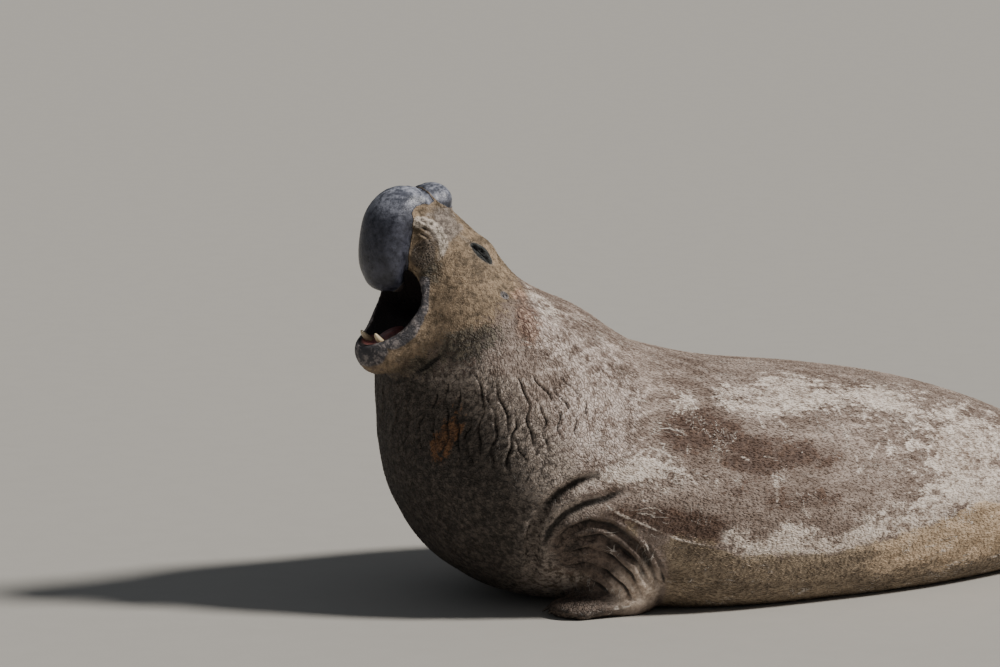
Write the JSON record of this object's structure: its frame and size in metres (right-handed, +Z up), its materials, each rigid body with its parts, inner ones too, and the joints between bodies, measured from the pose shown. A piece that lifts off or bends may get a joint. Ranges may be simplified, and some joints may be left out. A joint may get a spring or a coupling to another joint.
{
  "type": "elephant seal model",
  "caption": "Life-size still model of an adult male elephant seal, reared up on its fore flippers with its mouth open and its inflated nose curled over it",
  "frame": {"origin": "on the floor, under the middle of the box round the whole seal", "axes": "+X from head to tail along the trunk, +Y to the seal's right, +Z up"},
  "size_m": [3.6987, 1.3554, 1.451],
  "materials": {
    "chest": "dark short fur over creased skin",
    "claw_left_1": "dark claw horn",
    "claw_left_2": "dark claw horn",
    "claw_left_3": "dark claw horn",
    "claw_left_4": "dark claw horn",
    "claw_left_5": "dark claw horn",
    "claw_right_1": "dark claw horn",
    "claw_right_2": "dark claw horn",
    "claw_right_3": "dark claw horn",
    "claw_right_4": "dark claw horn",
    "claw_right_5": "dark claw horn",
    "eye_left": "wet black eye",
    "eye_right": "wet black eye",
    "foreflipper_left": "folded flipper skin",
    "foreflipper_right": "folded flipper skin",
    "head": "short tan fur on wrinkled skin",
    "hind_flipper_left": "webbed flipper skin",
    "hind_flipper_right": "webbed flipper skin",
    "hips": "short pale fur",
    "loin": "short brown-grey fur",
    "lower_canine_left": "cream tooth enamel",
    "lower_canine_right": "cream tooth enamel",
    "lower_jaw": "dark mottled lip skin",
    "neck": "cracked and wrinkled shield skin",
    "proboscis": "tight slate-grey hairless skin",
    "rump": "short pale fur",
    "tongue": "wet pink tongue",
    "trunk": "short brown-grey fur"
  },
  "bodies": {
    "root": {"chest": "chest", "claw_left_1": "claw_left_1", "claw_left_2": "claw_left_2", "claw_left_3": "claw_left_3", "claw_left_4": "claw_left_4", "claw_left_5": "claw_left_5", "claw_right_1": "claw_right_1", "claw_right_2": "claw_right_2", "claw_right_3": "claw_right_3", "claw_right_4": "claw_right_4", "claw_right_5": "claw_right_5", "eye_left": "eye_left", "eye_right": "eye_right", "foreflipper_left": "foreflipper_left", "foreflipper_right": "foreflipper_right", "head": "head", "hind_flipper_left": "hind_flipper_left", "hind_flipper_right": "hind_flipper_right", "hips": "hips", "loin": "loin", "lower_canine_left": "lower_canine_left", "lower_canine_right": "lower_canine_right", "lower_jaw": "lower_jaw", "neck": "neck", "proboscis": "proboscis", "rump": "rump", "tongue": "tongue", "trunk": "trunk"}
  },
  "joints": []
}
